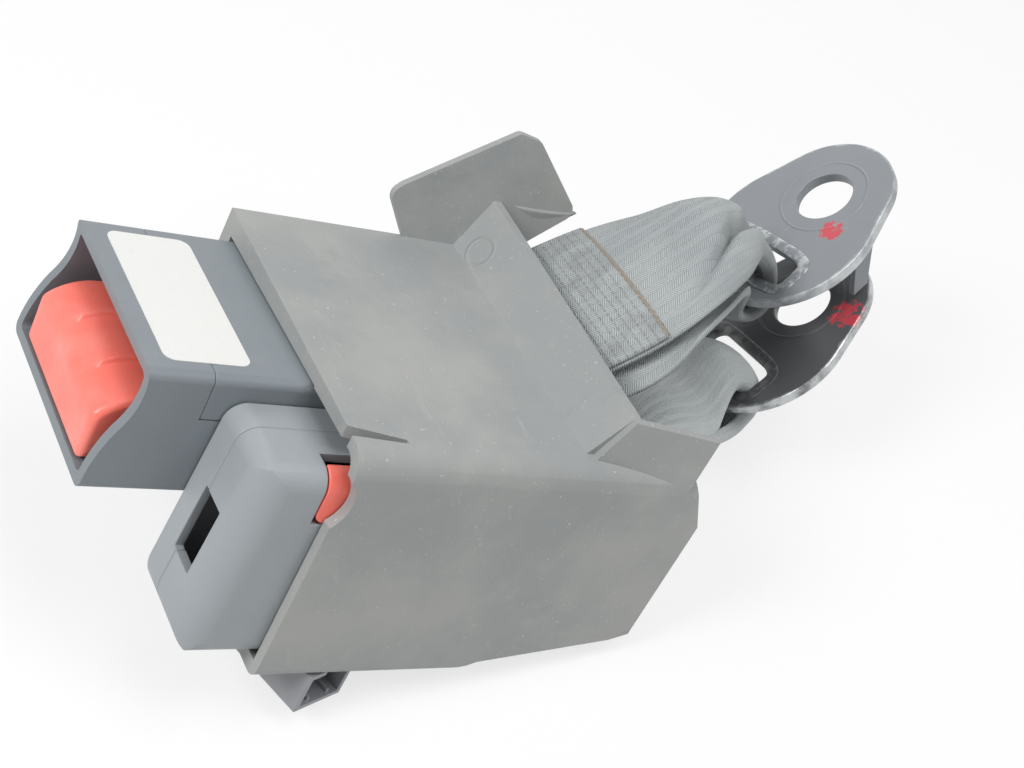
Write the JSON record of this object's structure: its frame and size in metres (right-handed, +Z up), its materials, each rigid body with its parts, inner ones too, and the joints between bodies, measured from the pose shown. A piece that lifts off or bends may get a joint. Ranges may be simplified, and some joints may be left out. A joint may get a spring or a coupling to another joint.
{
  "type": "seat belt buckle",
  "caption": "Rear seat double belt buckle: press button buckle and slim centre buckle in a rubber boot, webbing loops to steel anchor plates.",
  "frame": {"origin": "the middle of the footprint's bounding box, at the table", "axes": "+Z up from the table that it lies on; +X from the button end towards the anchor plates; +Y away from the centre buckle, across the main buckle's label face"},
  "size_m": [0.2226, 0.1086, 0.0795],
  "materials": {
    "buckle_plastic": "fine moulded grain, dark grey",
    "boot_rubber": "soft moulded, dusty",
    "red_plastic": "satin red",
    "webbing": "woven polyester",
    "plate_steel": "satin dark paint, worn at the edges",
    "frame_steel": "zinc plated",
    "spring_steel": "drawn wire",
    "slider_plastic": "natural acetal",
    "label_paper": "bare white sticker",
    "connector_plastic": "satin black nylon",
    "terminal_brass": "tinned"
  },
  "bodies": {
    "buckles": {"main_lower_shell": "buckle_plastic", "main_top_cover": "buckle_plastic", "label": "label_paper", "main_frame": "frame_steel", "main_latch_pin": "frame_steel", "main_webbing_pin": "frame_steel", "main_ejector_spring": "spring_steel", "buckle_switch": "connector_plastic", "button_springs": "spring_steel", "centre_front_shell": "buckle_plastic", "centre_back_shell": "buckle_plastic", "centre_frame": "frame_steel", "centre_latch_pin": "frame_steel", "centre_webbing_pin": "frame_steel", "centre_ejector_spring": "spring_steel", "release_spring": "spring_steel", "rubber_boot": "boot_rubber", "webbing_main": "webbing", "webbing_centre": "webbing", "connector_shell": "connector_plastic", "connector_terminals": "terminal_brass"},
    "button": {"press_button": "red_plastic"},
    "slider": {"lock_slider": "slider_plastic"},
    "latch": {"main_latch": "frame_steel"},
    "ejector": {"main_ejector": "slider_plastic"},
    "centre_button": {"release_button": "red_plastic"},
    "centre_latch_plate": {"centre_latch": "frame_steel"},
    "centre_ejector_block": {"centre_ejector": "slider_plastic"},
    "upper_plate": {"upper_anchor_plate": "plate_steel"},
    "lower_plate": {"lower_anchor_plate": "plate_steel"}
  },
  "joints": [
    {"name": "button_press", "type": "slide", "parent": "buckles", "child": "button", "axis": [0.9662, 0, -0.2578], "range_m": [0, 0.008], "stiffness_N_per_m": 500, "springref_m": -0.004, "deforming": ["button_springs"]},
    {"name": "slider_shift", "type": "slide", "parent": "buckles", "child": "slider", "axis": [0.9662, 0, -0.2578], "range_m": [0, 0.008]},
    {"name": "latch_drop", "type": "hinge", "parent": "buckles", "child": "latch", "pos_m": [-0.03957, 0.00732, 0.05355], "axis": [-0.0473, 0.983, -0.1775], "range_deg": [-9, 0], "stiffness_Nm_per_rad": 0.4, "springref_deg": 2.86},
    {"name": "ejector_push", "type": "slide", "parent": "buckles", "child": "ejector", "axis": [0.9662, 0, -0.2578], "range_m": [0, 0.005], "stiffness_N_per_m": 200, "springref_m": -0.003, "deforming": ["main_ejector_spring"]},
    {"name": "release_press", "type": "slide", "parent": "buckles", "child": "centre_button", "axis": [-0.0473, 0.983, -0.1775], "range_m": [0, 0.0025], "stiffness_N_per_m": 400, "springref_m": -0.002, "deforming": ["release_spring"]},
    {"name": "centre_latch_drop", "type": "hinge", "parent": "buckles", "child": "centre_latch_plate", "pos_m": [-0.03973, -0.03832, 0.03747], "axis": [0.2534, 0.1837, 0.9498], "range_deg": [-10, 0], "stiffness_Nm_per_rad": 0.3, "springref_deg": 2.86},
    {"name": "centre_ejector_push", "type": "slide", "parent": "buckles", "child": "centre_ejector_block", "axis": [0.9662, 0, -0.2578], "range_m": [0, 0.004], "stiffness_N_per_m": 200, "springref_m": -0.003, "deforming": ["centre_ejector_spring"]},
    {"name": "upper_plate_swing", "type": "hinge", "parent": "buckles", "child": "upper_plate", "pos_m": [0.07035, 0.02448, 0.04442], "axis": [-0.0979, 0.9198, -0.38], "range_deg": [-15, 4]},
    {"name": "lower_plate_swing", "type": "hinge", "parent": "buckles", "child": "lower_plate", "pos_m": [0.06519, 0.01024, 0.02071], "axis": [-0.0003, 0.9367, -0.3502], "range_deg": [-2, 12]}
  ],
  "couplings": [
    {"joint": "slider_shift", "follows": "button_press", "ratio": 1}
  ]
}
